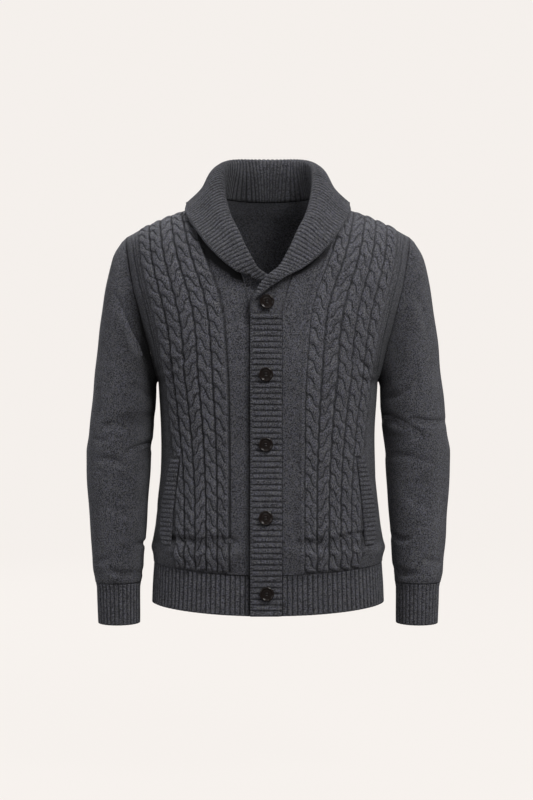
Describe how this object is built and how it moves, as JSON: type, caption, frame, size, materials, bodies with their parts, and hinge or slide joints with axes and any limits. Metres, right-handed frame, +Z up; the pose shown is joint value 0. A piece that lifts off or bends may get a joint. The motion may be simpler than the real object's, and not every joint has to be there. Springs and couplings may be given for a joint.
{
  "type": "shawl collar cardigan",
  "caption": "Knitted cardigan with a ribbed shawl collar, rope cables on the fronts, welt pockets and a buttoned ribbed band, in its filled-out worn shape",
  "frame": {"origin": "the held point midway between the shoulders, level with the neck points, where a hanger or a body carries the garment", "axes": "X to the viewer's right (the wearer's left), Y to the back, Z up along the body"},
  "size_m": [0.6036, 0.2659, 0.7832],
  "materials": {
    "plain_knit_wool": "charcoal heather wool knit, soft and matt",
    "rib_knit_wool": "charcoal heather wool rib, soft and matt",
    "horn_button": "dark brown horn, satin"
  },
  "bodies": {
    "root": {"back": "plain_knit_wool", "front_left": "plain_knit_wool", "front_right": "plain_knit_wool", "sleeve_left": "plain_knit_wool", "sleeve_right": "plain_knit_wool", "cuff_left": "rib_knit_wool", "cuff_right": "rib_knit_wool", "hem_back": "rib_knit_wool", "hem_front_left": "rib_knit_wool", "hem_front_right": "rib_knit_wool", "shawl_collar": "rib_knit_wool", "buttonhole_band": "rib_knit_wool", "button_band": "rib_knit_wool", "pocket_welt_left": "rib_knit_wool", "pocket_welt_right": "rib_knit_wool", "button_1": "horn_button", "button_2": "horn_button", "button_3": "horn_button", "button_4": "horn_button", "button_5": "horn_button"}
  },
  "joints": []
}
